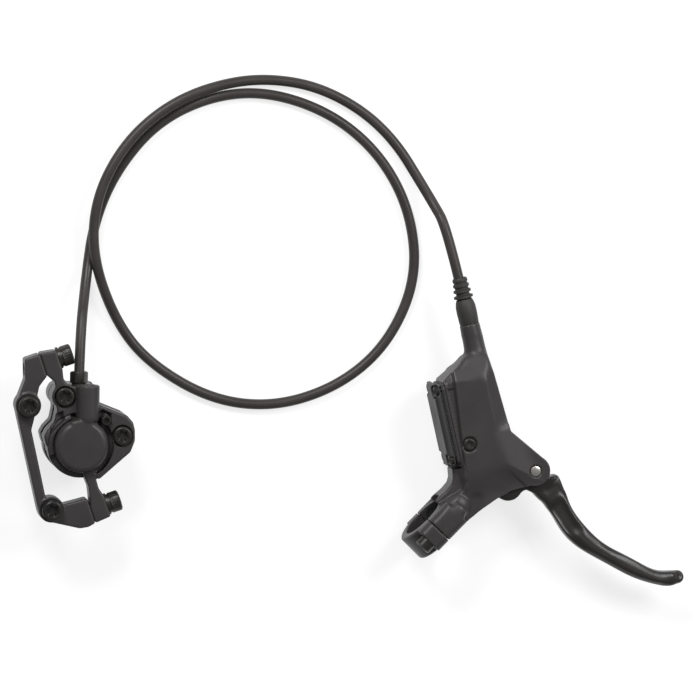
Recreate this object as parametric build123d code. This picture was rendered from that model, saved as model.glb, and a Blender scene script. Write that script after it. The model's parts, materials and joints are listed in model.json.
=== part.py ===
from build123d import *
import math
import os

os.makedirs("parts", exist_ok=True)

# Hydraulic disc brake laid out flat: caliper on its adapter, hose, and brake lever.
# Millimetres, +Z up, resting on Z = 0. The caliper and the lever are each drawn in a plan
# frame of their own, x and y in the plane of the rotor, and then turned into place.

# Where the two ends lie on the surface, and how far each is turned about Z
CALIPER_AT = (-133.85, -45.15)
CALIPER_TURN = 18.7
LEVER_AT = (89.15, -59.1)
LEVER_TURN = 13.45

# Fits
SLIDE_FIT = 0.05          # radial clearance of pistons, pins and barrels
THREAD_FIT = 0.05         # radial clearance drawn at a threaded hole
LOOSE_FIT = 0.3           # clearance of parts that pass each other

# Rotor and pads
ROTOR_Z = 18.0            # middle plane of the rotor
ROTOR_RADIUS = 80.0
RIM_PAST_PISTON = 9.5     # the rim lies this far outside the piston axis
ROTOR_SIDE_GAP = 2.5      # half width of the rotor slot
PAD_GAP = 2.6             # between the two linings, as new
LINING = 2.0
PAD_PLATE = 1.9
PAD_TRAVEL = 0.4
PAD_INNER, PAD_OUTER = -10.0, 11.0
PAD_LOW, PAD_HIGH = -9.0, 10.4
RADIAL_ANGLE = 37.2       # direction of the rotor's radius in the caliper's plan

# Caliper
PISTON_RADIUS = 11.0
PISTON_LENGTH = 9.0
PISTON_WALL = 2.6
FLUID_GAP = 0.8
SEAL_OUTER = PISTON_RADIUS + 2.2
SEAL_WIDTH = 2.2
SEAL_DEPTH = 4.0
PISTON_FACE = PAD_GAP / 2 + LINING + PAD_PLATE
HALF_TOP = 33.5           # outboard faces of ears, lobes and adapter
HALF_STEP = HALF_TOP - 3.0    # annular step round the dome
DOME_RADIUS = 12.8
DOME_TOP = HALF_TOP + 5.0
SHELL_RADIUS = 16.0
EAR_THICK = 11.0
EAR_FACE = -5.0           # plane where the ears sit on the adapter
EAR_OUT = 3.0             # plane under the washers
POST_HOLES = (42.6, -31.6)    # 74.2 mm apart
POST_SLOT = (6.4, 8.0)
POST_HEAD = 5.0           # height of a post mount bolt's head
M6_RADIUS = 3.0
M5_RADIUS = 2.5
BODY_BOLTS = ((0.0, 24.5), (20.2, -2.1))
BODY_HEAD_RADIUS = 4.5
PIN_AT = (16.5, -3.0)     # pad pin, along and across the rotor's radius
PIN_RADIUS = 1.5
PIN_TIP = 7.5
PORT_Z = 27.0
PORT_END = (8.5, 26.95)
PORT_DIRECTION = 71.1
NUT_FLATS = 7.5
NUT_COLLAR = 1.0          # round foot between the hexagon and the body
NUT_LENGTH = 6.6          # with the collar
PORT_DEPTH = 10.5
OLIVE = 2.9
BLEED_TOP = (12.2, 26.5)
BLEED_FOOT = (7.4, 12.4)
BLEED_RADIUS = 5.5
BLEED_Z = HALF_TOP + 0.5
SEAL_AT = (6.5, 22.8)

# Adapter
FRAME_BOLTS = ((-18.0, 26.2), (-23.0, -24.8))     # 51 mm apart
FRAME_BOSS = 6.2
FRAME_HEAD_RADIUS = 4.9

# Hose
HOSE_RADIUS = 2.5
HOSE_BORE = HOSE_RADIUS + SLIDE_FIT

# Lever
LEVER_Z = 19.5            # middle plane of the lever
CYLINDER_X = -15.08
CYLINDER_END = 76.8
BORE_RADIUS = 4.75
BORE_MOUTH = 10.5
CIRCLIP_AT = 10.9
CIRCLIP_RADIUS = 5.4
CIRCLIP_THICK = 0.8
PULL_ANGLE = 25.0
PISTON_REAR = CIRCLIP_AT + CIRCLIP_THICK + 0.3
MASTER_LENGTH = 28.0
PISTON_FRONT = PISTON_REAR + MASTER_LENGTH
RESERVOIR_HALF = 11.5
ARM_HALF = 8.3
NECK_HALF = 9.0
SLOT_HALF = 4.7
EAR_RADIUS = 7.4
PIVOT_RADIUS = 2.6
BUSH_WALL = 0.9
BARREL_AT = (-14.9, -3.3)
BARREL_RADIUS = 4.0
STROKE = 2 * math.hypot(*BARREL_AT) * math.sin(math.radians(PULL_ANGLE / 2))
BORE_FLOOR = PISTON_FRONT + STROKE + 3.4
CYLINDER_FOOT = 20.0      # where the cylinder's cone starts, and its radius there
FOOT_RADIUS = 7.6
FITTING_FLOOR = BORE_FLOOR + 10.0
FITTING_RADIUS = 3.6
PUSH_TIP = PISTON_REAR + 3.0
SEAL_FRONT = PISTON_FRONT - 3.4
SEAL_REAR = PISTON_REAR + 8.0
VENT_AT = (-29.5, 20.9)
BAR_RADIUS = 11.1
CLAMP_WIDTH = 14.0
CLAMP_WALL = 4.1
BAR_RELIEF = 1.5          # the neck's clearance from the bar beside the clamp
BAR_REACH = 20.0
CLAMP_AT = (-54.0, -15.6)
CLAMP_AXIS = -57.7        # direction of the handlebar in the lever's plan
CLAMP_SPLIT = 0.4
CLAMP_BOLT_Z = 15.1
LUG_RADIUS = LEVER_Z - CLAMP_BOLT_Z
RIM_X = -35.6
RESERVOIR_LOW, RESERVOIR_HIGH = 11.6, 52.6
POCKET_DEPTH = 9.0
POCKET_WALL = 3.0
GASKET = 0.9
CAP_NECK = 2.2
CAP_PLATE = 2.6
BOOT_RIBS = ((90.3, 4.75), (93.2, 4.3), (95.9, 3.9), (98.4, 3.5))
BOOT_END = 99.6
WASHER = 1.0


def rod(radius, start, end):
    """Cylinder between two points."""
    axis = Vector(*end) - Vector(*start)
    return extrude(Plane(origin=start, z_dir=axis) * Circle(radius), axis.length)


def ring(outer, inner, start, end):
    return rod(outer, start, end) - rod(inner, start, end)


def slab(points, low, high, corner=0.0, edge=0.0):
    """Plate of a plan outline, with rounded corners and chamfered outer edges."""
    face = make_face(Polyline(*points, close=True))
    if corner:
        face = fillet(face.vertices(), corner)
    solid = Pos(0, 0, low) * extrude(face, high - low)
    if edge:
        rims = solid.faces().sort_by(Axis.Z)
        solid = chamfer(rims[-1].edges() + rims[0].edges(), edge)
    return solid


def hexagon(flats, start, end):
    """Hexagonal bar between two points."""
    axis = Vector(*end) - Vector(*start)
    outline = RegularPolygon(flats / 2, 6, major_radius=False)
    return extrude(Plane(origin=start, z_dir=axis) * outline, axis.length)


def rim(solid, centre):
    """The round edge whose centre is nearest to a point."""
    circles = solid.edges().filter_by(GeomType.CIRCLE)
    return circles.sort_by(lambda edge: (edge.arc_center - Vector(*centre)).length)[0]


def cap_screw(head, head_length, shank, under, tip, socket):
    """Socket head screw: under is the centre of the head's bearing face."""
    along = (Vector(*tip) - Vector(*under)).normalized()
    top = Vector(*under) - along * head_length
    body = rod(head, top, under)
    body = chamfer(rim(body, (top.X, top.Y, top.Z)), 0.5)
    body += rod(shank, under, tip)
    return body - hexagon(socket, top, top + along * head_length * 0.6)


def polar(distance, angle):
    return Vector(distance * math.cos(math.radians(angle)), distance * math.sin(math.radians(angle)))


def from_radius(radial, across):
    """Plan point given along and across the rotor's radius through the piston axis."""
    return polar(radial, RADIAL_ANGLE) + polar(across, RADIAL_ANGLE + 90)


def on_plan(point, z):
    return (point.X, point.Y, z)


# Caliper
def pocket():
    """Space for the pads, the rotor and the pad pin, shared by both halves."""
    half = PAD_GAP / 2 + LINING + PAD_PLATE + LOOSE_FIT
    low, high = PAD_LOW - LOOSE_FIT, PAD_HIGH + LOOSE_FIT
    window = Pos(0, (low + high) / 2, ROTOR_Z) * Box(90, high - low, 2 * half)
    window = Rot(0, 0, RADIAL_ANGLE) * window
    centre = from_radius(RIM_PAST_PISTON - ROTOR_RADIUS, 0)
    sweep = ROTOR_RADIUS + 1.3
    rotor = rod(sweep, on_plan(centre, ROTOR_Z - ROTOR_SIDE_GAP), on_plan(centre, ROTOR_Z + ROTOR_SIDE_GAP))
    return window + rotor


def lobes(low, high):
    """Plan shape that both halves share: shell round the piston and the two bolt lobes."""
    upper = [(-3.4, 30.2), (1.2, 30.4), (3.6, 28.7), (16.6, 24.3), (14.5, 15.0), (8.0, 4.0),
             (-9.0, 4.0), (-15.8, 4.5), (-15.4, 9.7), (-13.0, 12.0), (-8.6, 14.3), (-5.7, 19.4)]
    right = [(13.5, 16.4), (25.6, 6.1), (27.2, 2.2), (26.9, -1.6), (25.3, -6.4), (21.6, -10.9),
             (3.0, -18.6), (-4.0, -8.0), (2.0, 8.0)]
    shape = slab(upper, low, high, 1.2, 0.7)
    shape += slab(right, low, high, 1.4, 0.7)
    x, y = BODY_BOLTS[0]
    boss = rod(6.2, (x, y, low), (x, y, high))
    return shape + chamfer(boss.edges().filter_by(GeomType.CIRCLE), 0.7)


def dome(base, step, top):
    """Turned shell over one piston bore, from the base plane outwards."""
    way = 1 if top > base else -1
    outline = Polyline((0, base), (SHELL_RADIUS, base), (SHELL_RADIUS, step - 0.8 * way),
                       (SHELL_RADIUS - 0.8, step), (DOME_RADIUS + 1.0, step),
                       (DOME_RADIUS, step + 1.6 * way), (DOME_RADIUS, top - 1.5 * way))
    crown = RadiusArc((DOME_RADIUS, top - 1.5 * way), (DOME_RADIUS - 1.5, top), -1.5 * way)
    lid = Polyline((DOME_RADIUS - 1.5, top), (0, top), (0, base))
    return revolve(Plane.XZ * make_face(outline + crown + lid), Axis.Z)


def ears(low, high):
    upper = [(-5.0, 48.2), (3.0, 46.9), (3.0, 37.3), (2.1, 33.2), (3.2, 27.0), (-3.6, 27.0),
             (-2.5, 32.7), (-5.0, 37.0)]
    lower = [(-5.0, -37.9), (-5.0, -30.0), (-3.6, -24.5), (-2.8, -20.2), (-3.4, -12.0), (3.2, -12.0),
             (1.9, -18.0), (1.7, -22.4), (3.0, -27.0), (3.0, -37.2)]
    return slab(upper, low, high, 0.8, 0.6) + slab(lower, low, high, 0.8, 0.6)


def post_slot(height):
    width, length = POST_SLOT
    outline = SlotOverall(length, width, rotation=90)
    place = Plane(origin=(EAR_FACE - 2, height, HALF_TOP - EAR_THICK / 2), x_dir=(0, 1, 0), z_dir=(1, 0, 0))
    return extrude(place * outline, EAR_OUT - EAR_FACE + 4)


def port_point(depth, end=PORT_END, z=PORT_Z):
    """Point on the axis of a hose or bleed port, depth measured into the body."""
    inward = polar(depth, PORT_DIRECTION)
    return (end[0] - inward.X, end[1] - inward.Y, z)


def piston_bore(face, way):
    floor = face + way * (PISTON_LENGTH + FLUID_GAP)
    bore = rod(PISTON_RADIUS + SLIDE_FIT, (0, 0, face - way), (0, 0, floor))
    seal_at = face + way * SEAL_DEPTH
    return bore + rod(SEAL_OUTER + SLIDE_FIT, (0, 0, seal_at), (0, 0, seal_at + way * SEAL_WIDTH))


def caliper_outer_half():
    body = lobes(ROTOR_Z, HALF_TOP)
    body -= rod(SHELL_RADIUS - 0.3, (0, 0, HALF_STEP), (0, 0, HALF_TOP + 1))
    body += dome(ROTOR_Z, HALF_STEP, DOME_TOP)
    body += ears(HALF_TOP - EAR_THICK, HALF_TOP)
    body += rod(5.0, port_point(0), port_point(13))
    tube = rod(BLEED_RADIUS, (*BLEED_FOOT, BLEED_Z), (*BLEED_TOP, BLEED_Z))
    tube = chamfer(rim(tube, (*BLEED_TOP, BLEED_Z)), 0.6)
    body += tube + Pos(*BLEED_FOOT, BLEED_Z) * Sphere(BLEED_RADIUS)
    for x, y in BODY_BOLTS:
        body -= rod(BODY_HEAD_RADIUS + 0.5, (x, y, HALF_TOP - 2), (x, y, DOME_TOP + 3))
        body -= rod(M5_RADIUS + 0.2, (x, y, ROTOR_Z - 1), (x, y, HALF_TOP))
    for height in POST_HOLES:
        body -= post_slot(height)
    body -= rod(M6_RADIUS + 0.6, port_point(-1), port_point(PORT_DEPTH))
    body -= rod(3.4, port_point(-1, BLEED_TOP, BLEED_Z), port_point(5.5, BLEED_TOP, BLEED_Z))
    body -= rod(0.9, (*SEAL_AT, ROTOR_Z - 1), (*SEAL_AT, PORT_Z))
    body -= piston_bore(ROTOR_Z + PISTON_FACE, 1)
    pin = from_radius(*PIN_AT)
    body -= rod(PIN_RADIUS + SLIDE_FIT, on_plan(pin, ROTOR_Z), on_plan(pin, HALF_TOP + 1))
    return body - pocket()


def caliper_inner_half():
    body = lobes(5.0, ROTOR_Z)
    body += dome(ROTOR_Z, 4.2, 0.0)
    for x, y in BODY_BOLTS:
        body -= rod(M5_RADIUS + THREAD_FIT, (x, y, 6.5), (x, y, ROTOR_Z + 1))
    body -= rod(0.9, (*SEAL_AT, 9.0), (*SEAL_AT, ROTOR_Z + 1))
    body -= rod(2.65, (*SEAL_AT, ROTOR_Z - 1.0), (*SEAL_AT, ROTOR_Z + 1))
    body -= piston_bore(ROTOR_Z - PISTON_FACE, -1)
    pin = from_radius(*PIN_AT)
    body -= rod(PIN_RADIUS + THREAD_FIT, on_plan(pin, PIN_TIP - 0.5), on_plan(pin, ROTOR_Z + 1))
    return body - pocket()


def caliper_piston(way):
    face = ROTOR_Z + way * PISTON_FACE
    piston = rod(PISTON_RADIUS, (0, 0, face), (0, 0, face + way * PISTON_LENGTH))
    piston = chamfer(piston.edges().filter_by(GeomType.CIRCLE), 0.4)
    cup = rod(PISTON_RADIUS - PISTON_WALL, (0, 0, face - way), (0, 0, face + way * (PISTON_LENGTH - 2.5)))
    return piston - cup


def caliper_seal(way):
    start = ROTOR_Z + way * (PISTON_FACE + SEAL_DEPTH)
    return ring(SEAL_OUTER, PISTON_RADIUS + SLIDE_FIT, (0, 0, start), (0, 0, start + way * SEAL_WIDTH))


def pad_outline(outer):
    return [(PAD_INNER, PAD_LOW + 2), (PAD_INNER, PAD_HIGH - 2), (PAD_INNER + 3, PAD_HIGH),
            (outer, PAD_HIGH), (outer, PAD_LOW), (PAD_INNER + 3, PAD_LOW)]


def pad_plate(way):
    back = ROTOR_Z + way * PISTON_FACE
    low, high = sorted((back, back - way * PAD_PLATE))
    plate = slab(pad_outline(PAD_OUTER), low, high, 0.9)
    radial, across = PIN_AT
    lug = [(PAD_OUTER - 2, across - 3.6), (radial + 3.2, across - 3.0),
           (radial + 3.2, across + 3.0), (PAD_OUTER - 2, across + 5.6)]
    plate += slab(lug, low, high, 0.9)
    plate -= rod(PIN_RADIUS + LOOSE_FIT, (radial, across, low - 1), (radial, across, high + 1))
    return Rot(0, 0, RADIAL_ANGLE) * plate


def pad_lining(way):
    face = ROTOR_Z + way * PAD_GAP / 2
    low, high = sorted((face, face + way * LINING))
    lining = slab(pad_outline(PAD_OUTER - 1.8), low, high, 1.2)
    middle = (PAD_LOW + PAD_HIGH) / 2
    lining -= Pos(0, middle, face) * Box(60, 1.4, 2.4)
    return Rot(0, 0, RADIAL_ANGLE) * lining


def pad_spring():
    """Folded strip that bears on both pad plates outside the linings."""
    reach, width, sheet = 3.0, 8.0, 0.4
    half = PISTON_FACE - PAD_PLATE - PAD_TRAVEL - 0.1
    outer = PAD_OUTER + 1.6
    strip = Pos(outer - sheet / 2, 4.5, ROTOR_Z) * Box(sheet, width, 2 * half)
    for way in (-1, 1):
        leg_z = ROTOR_Z + way * (half - sheet / 2)
        strip += Pos(outer - reach / 2, 4.5, leg_z) * Box(reach, width, sheet)
    return Rot(0, 0, RADIAL_ANGLE) * strip


def pad_pin():
    pin = on_plan(from_radius(*PIN_AT), 0)
    shaft = rod(PIN_RADIUS, (pin[0], pin[1], PIN_TIP), (pin[0], pin[1], HALF_TOP + 2))
    head = rod(2.4, (pin[0], pin[1], HALF_TOP), (pin[0], pin[1], HALF_TOP + 3.2))
    head = chamfer(rim(head, (pin[0], pin[1], HALF_TOP + 3.2)), 0.5)
    socket = hexagon(2.5, (pin[0], pin[1], HALF_TOP + 1.4), (pin[0], pin[1], HALF_TOP + 4))
    return shaft + head - socket


def body_bolts():
    return [cap_screw(BODY_HEAD_RADIUS, 3.8, M5_RADIUS, (x, y, HALF_TOP - 2), (x, y, 7.0), 4.0)
            for x, y in BODY_BOLTS]


def crossover_o_ring():
    middle = ROTOR_Z - 0.5
    return Pos(*SEAL_AT, middle) * Torus(2.1, 0.48)


def post_washers():
    rings = []
    for height in POST_HOLES:
        z = HALF_TOP - EAR_THICK / 2
        for number, radius in enumerate((5.3, 4.6)):
            start = EAR_OUT + number * WASHER
            rings.append(ring(radius, M6_RADIUS + 0.25, (start, height, z), (start + WASHER, height, z)))
    return rings


def post_bolts():
    z = HALF_TOP - EAR_THICK / 2
    under = EAR_OUT + 2 * WASHER
    return [cap_screw(5.0, POST_HEAD, M6_RADIUS, (under, height, z), (-11.2, height, z), 5.0)
            for height in POST_HOLES]


# Adapter
def mount_adapter():
    low, high = HALF_TOP - EAR_THICK, HALF_TOP
    upper = [(EAR_FACE, 47.9), (-12.7, 47.9), (-15.6, 38.4), (-22.8, 29.5), (-15.5, 21.0),
             (-12.0, 25.0), (-12.3, 29.4), (-10.0, 33.2), (EAR_FACE, 36.6)]
    arm = [(-24.1, 27.0), (-29.3, -24.0), (-24.0, -27.0), (-23.6, -17.0), (-20.2, 14.5),
           (-17.0, 19.5), (-16.5, 24.0)]
    lower = [(EAR_FACE, -37.9), (EAR_FACE, -25.2), (-16.5, -24.4), (-20.5, -20.0), (-26.0, -22.0),
             (-27.6, -29.0), (-24.0, -31.2), (-12.9, -37.9), (-8.8, -38.6)]
    body = slab(upper, low, high, 1.0, 0.6)
    body += slab(arm, low, high, 0.8, 0.6) + slab(lower, low, high, 1.0, 0.6)
    for x, y in FRAME_BOLTS:
        body += rod(FRAME_BOSS, (x, y, low), (x, y, high + 0.5))
    for x, y in FRAME_BOLTS:
        body -= rod(M6_RADIUS + THREAD_FIT, (x, y, low - 1), (x, y, high + 2))
    for height in POST_HOLES:
        z = HALF_TOP - EAR_THICK / 2
        body -= rod(M6_RADIUS + THREAD_FIT, (-40, height, z), (EAR_FACE + 1, height, z))
    return body


def frame_washers():
    face = HALF_TOP + 0.5
    return [ring(5.6, M6_RADIUS + 0.25, (x, y, face), (x, y, face + 1.0)) for x, y in FRAME_BOLTS]


def frame_bolts():
    under = HALF_TOP + 1.5
    return [cap_screw(FRAME_HEAD_RADIUS, 4.2, M6_RADIUS, (x, y, under), (x, y, under - 15), 5.0)
            for x, y in FRAME_BOLTS]


# Hose ends at the caliper
def caliper_hose_nut():
    nut = hexagon(NUT_FLATS, port_point(-NUT_LENGTH), port_point(-NUT_COLLAR))
    nut += rod(M6_RADIUS + 0.55, port_point(-NUT_COLLAR), port_point(PORT_DEPTH - OLIVE - 1.1))
    return nut - rod(HOSE_BORE, port_point(-NUT_LENGTH - 1), port_point(PORT_DEPTH))


def caliper_olive():
    start = PORT_DEPTH - OLIVE - 1.0
    return ring(M6_RADIUS + 0.5, HOSE_BORE, port_point(start), port_point(start + OLIVE))


def bleed_plug():
    plug = rod(3.35, port_point(0.9, BLEED_TOP, BLEED_Z), port_point(5.4, BLEED_TOP, BLEED_Z))
    return plug - hexagon(3.0, port_point(0.5, BLEED_TOP, BLEED_Z), port_point(3.0, BLEED_TOP, BLEED_Z))


# Lever
def lever_slab(points, half, corner=0.0, edge=0.0):
    return slab(points, LEVER_Z - half, LEVER_Z + half, corner, edge)


def in_bore(y, z=LEVER_Z):
    return (CYLINDER_X, y, z)


def clamp_point(along, out, z):
    """Point given along the handlebar, out from it towards the lever, and in height."""
    place = Vector(*CLAMP_AT) + polar(along, CLAMP_AXIS) + polar(out, CLAMP_AXIS + 90)
    return (place.X, place.Y, z)


def bar(radius, start, end):
    """Space of the handlebar between two distances along it."""
    return rod(radius, clamp_point(start, 0, LEVER_Z), clamp_point(end, 0, LEVER_Z))


def clamp_ring():
    ends = [clamp_point(way * CLAMP_WIDTH / 2, 0, LEVER_Z) for way in (-1, 1)]
    blank = rod(BAR_RADIUS + CLAMP_WALL, *ends)
    return chamfer(blank.edges().filter_by(GeomType.CIRCLE), 0.8)


def clamp_side(way):
    """Half space on one side of the clamp's split."""
    block = Box(80, 200, 80)
    middle = clamp_point(0, way * (100 + CLAMP_SPLIT), LEVER_Z)
    return Pos(*middle) * Rot(0, 0, CLAMP_AXIS) * block


def clamp_lugs(start, end):
    """Screw lugs over the clamp's whole width, between two distances out from the bar."""
    along, out = polar(1, CLAMP_AXIS), polar(1, CLAMP_AXIS + 90)
    lugs = []
    for way in (-1, 1):
        foot = clamp_point(0, start, LEVER_Z + way * CLAMP_BOLT_Z)
        lug = Plane(origin=foot, x_dir=along, z_dir=out) * SlotOverall(CLAMP_WIDTH, 2 * LUG_RADIUS)
        lugs.append(extrude(lug, end - start))
    return lugs


def reservoir_block():
    plan = [(-10.4, 62.0), (-21.8, 62.6), (-24.8, 59.8), (RIM_X, 53.3), (RIM_X, 11.4), (-30.0, 4.0),
            (-12.0, 4.0), (-7.7, 22.0), (-7.9, 27.0)]
    block = lever_slab(plan, RESERVOIR_HALF, 0.0, 0.0)
    for way in (-1, 1):
        top = LEVER_Z + way * RESERVOIR_HALF
        wedge = make_face(Polyline((-14.8, top + way), (0, top + way), (0, LEVER_Z + way * 1.2),
                                   (-14.8, top), close=True))
        block -= extrude(Plane.XZ * wedge, 140, both=True)
        slope = make_face(Polyline((68, top + way), (44, top + way), (44, top), (52, top),
                                   (68, LEVER_Z + way * 3.4), close=True))
        block -= Pos(-60, 0, 0) * extrude(Plane.YZ * slope, 60)
    return block


def lever_arm():
    plan = [(-24.0, 27.0), (-8.0, 27.0), (-7.7, 22.0), (4.9, 5.6), (3.0, -6.4), (-13.1, -6.6),
            (-21.8, -8.8), (-29.4, -11.6), (-36.2, -14.7), (-40.0, 4.0), (RIM_X + 0.2, RESERVOIR_LOW - 1.0)]
    arm = lever_slab(plan, ARM_HALF, 1.0, 0.6)
    ear = rod(EAR_RADIUS, (0, 0, LEVER_Z - ARM_HALF), (0, 0, LEVER_Z + ARM_HALF))
    return arm + chamfer(ear.edges().filter_by(GeomType.CIRCLE), 0.6)


def lever_neck():
    top = RESERVOIR_LOW - 1.0
    plan = [(-28.0, top), (-39.8, top), (-40.4, 5.7), (-41.8, 3.2), (-45.1, 0.8), (-51.4, -2.5),
            (-58.0, -5.6), (-52.0, -21.0), (-47.0, -22.9), (-40.5, -17.2), (-29.4, -11.5), (-24.0, -9.4)]
    return lever_slab(plan, NECK_HALF, 1.0, 0.8)


def reservoir_pocket():
    length = RESERVOIR_HIGH - RESERVOIR_LOW - 6
    middle = (RIM_X + POCKET_DEPTH / 2 - 1, (RESERVOIR_LOW + RESERVOIR_HIGH) / 2, LEVER_Z)
    pocket_block = Box(POCKET_DEPTH + 2, length, 2 * (RESERVOIR_HALF - POCKET_WALL))
    return Pos(*middle) * fillet(pocket_block.edges().filter_by(Axis.X), 2.5)


def lever_body():
    body = reservoir_block()
    cone = Plane(origin=in_bore(CYLINDER_END), z_dir=(0, -1, 0)) * Circle(4.85)
    foot = Plane(origin=in_bore(CYLINDER_FOOT), z_dir=(0, -1, 0)) * Circle(FOOT_RADIUS)
    body += loft([cone, foot])
    body += lever_arm() + lever_neck()
    half = clamp_ring() + clamp_lugs(CLAMP_SPLIT, 12.5)
    body += half & clamp_side(1)
    body -= bar(BAR_RADIUS, -BAR_REACH, BAR_REACH)
    for way in (-1, 1):
        body -= bar(BAR_RADIUS + BAR_RELIEF, way * CLAMP_WIDTH / 2, way * BAR_REACH)
        z = LEVER_Z + way * CLAMP_BOLT_Z
        body += rod(LUG_RADIUS, clamp_point(0, 12.0, z), clamp_point(0, 16.5, z))
        body -= rod(M5_RADIUS + THREAD_FIT, clamp_point(0, -1, z), clamp_point(0, 12.0, z))
    body -= Pos(-3.0, -7.0, LEVER_Z) * Box(42.0, 2 * (BORE_MOUTH + 7.0), 2 * SLOT_HALF)
    body -= rod(BORE_RADIUS, in_bore(BORE_MOUTH - 2), in_bore(BORE_FLOOR))
    body -= rod(CIRCLIP_RADIUS + SLIDE_FIT, in_bore(CIRCLIP_AT), in_bore(CIRCLIP_AT + CIRCLIP_THICK + 0.1))
    body -= rod(1.0, in_bore(BORE_FLOOR - 1), in_bore(FITTING_FLOOR + 1))
    body -= rod(FITTING_RADIUS, in_bore(FITTING_FLOOR), in_bore(CYLINDER_END + 1))
    body -= rod(PIVOT_RADIUS + THREAD_FIT, (0, 0, -5), (0, 0, 60))
    body -= reservoir_pocket()
    for x, y, z in screw_places():
        body -= rod(1.5 + THREAD_FIT, (RIM_X - 1, y, z), (RIM_X + 5.5, y, z))
    top = LEVER_Z + RESERVOIR_HALF
    x, y = VENT_AT
    body -= rod(3.7, (x, y, top - 1.2), (x, y, top + 1))
    body -= rod(1.9 + THREAD_FIT, (x, y, top - 6), (x, y, top))
    port = (CYLINDER_X, 42.0, LEVER_Z)
    body -= rod(0.8, (RIM_X + 6, port[1], port[2]), port)
    return body


def screw_places():
    ends = (RESERVOIR_LOW + 3.6, RESERVOIR_HIGH - 3.2)
    return [(RIM_X, y, LEVER_Z + way * 8.4) for y in ends for way in (-1, 1)]


def cap_block(start, thick, length, half, edge):
    middle = (start - thick / 2, (RESERVOIR_LOW + RESERVOIR_HIGH) / 2, LEVER_Z)
    block = Box(thick, length, 2 * half)
    block = fillet(block.edges().filter_by(Axis.X), 2.8)
    if edge:
        block = chamfer(block.faces().sort_by(Axis.X)[0].edges(), edge)
    return Pos(*middle) * block


def reservoir_cap():
    length = RESERVOIR_HIGH - RESERVOIR_LOW
    cap = cap_block(RIM_X - GASKET, CAP_NECK, length - 0.6, RESERVOIR_HALF - 0.4, 0)
    cap += cap_block(RIM_X - GASKET - CAP_NECK, CAP_PLATE, length + 0.8, RESERVOIR_HALF, 1.1)
    seat = RIM_X - GASKET - CAP_NECK
    for _, y, z in screw_places():
        cap -= rod(3.4, (seat, y, z), (seat - 8, y, z))
        cap -= rod(1.5 + 0.2, (RIM_X, y, z), (seat - 1, y, z))
    groove = cap_block(RIM_X - GASKET - 0.6, CAP_NECK - 1.4, length + 4, RESERVOIR_HALF + 2, 0)
    core = cap_block(RIM_X - GASKET - 0.4, CAP_NECK - 1.0, length - 2.6, RESERVOIR_HALF - 1.4, 0)
    return cap - (groove - core)


def reservoir_diaphragm():
    length = RESERVOIR_HIGH - RESERVOIR_LOW
    sheet = cap_block(RIM_X, GASKET, length - 0.6, RESERVOIR_HALF - 0.4, 0)
    bellows = cap_block(RIM_X + 5.0, 5.0, length - 8, RESERVOIR_HALF - POCKET_WALL - 1.5, 0)
    hollow = cap_block(RIM_X + 4.0, 5.5, length - 10, RESERVOIR_HALF - POCKET_WALL - 2.5, 0)
    sheet += bellows
    sheet -= hollow
    for _, y, z in screw_places():
        sheet -= rod(1.5 + 0.2, (RIM_X + 1, y, z), (RIM_X - 2, y, z))
    return sheet


def reservoir_screws():
    seat = RIM_X - GASKET - CAP_NECK
    return [cap_screw(2.7, 2.0, 1.5, (seat, y, z), (RIM_X + 5.0, y, z), 2.0) for _, y, z in screw_places()]


def bleed_screw():
    x, y = VENT_AT
    seat = LEVER_Z + RESERVOIR_HALF - 1.2
    return cap_screw(3.0, 1.6, 1.9, (x, y, seat), (x, y, seat - POCKET_WALL), 2.5)


def clamp_cap():
    half = clamp_ring() + clamp_lugs(-7.2, -CLAMP_SPLIT)
    cap = half & clamp_side(-1)
    cap -= bar(BAR_RADIUS, -BAR_REACH, BAR_REACH)
    for way in (-1, 1):
        z = LEVER_Z + way * CLAMP_BOLT_Z
        cap -= rod(M5_RADIUS + 0.2, clamp_point(0, -20, z), clamp_point(0, 1, z))
        cap -= rod(4.35, clamp_point(0, -20, z), clamp_point(0, -7.2, z))
    return cap


def clamp_bolts():
    bolts = []
    for way in (-1, 1):
        z = LEVER_Z + way * CLAMP_BOLT_Z
        bolts.append(cap_screw(4.1, 4.6, M5_RADIUS, clamp_point(0, -7.2, z), clamp_point(0, 11.0, z), 4.0))
    return bolts


# Middle line of the finger blade with its in-plane thickness and its height
BLADE = (((3.4, -7.0), 12.4, 8.6), ((8.2, -18.0), 12.0, 8.8), ((12.2, -30.5), 10.2, 12.0),
         ((20.6, -43.4), 8.8, 14.5), ((32.9, -54.8), 8.2, 14.0), ((42.6, -62.8), 7.4, 13.0),
         ((48.0, -66.2), 6.8, 11.5), ((54.0, -68.4), 7.4, 9.5), ((58.2, -68.8), 6.4, 7.5))


def blade_finger():
    sections = []
    for number, (place, thick, height) in enumerate(BLADE):
        before = BLADE[max(number - 1, 0)][0]
        after = BLADE[min(number + 1, len(BLADE) - 1)][0]
        along = Vector(after[0] - before[0], after[1] - before[1])
        plane = Plane(origin=(place[0], place[1], LEVER_Z), x_dir=(0, 0, 1), z_dir=along)
        sections.append(plane * RectangleRounded(height, thick, 2.6))
    return loft(sections)


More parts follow.
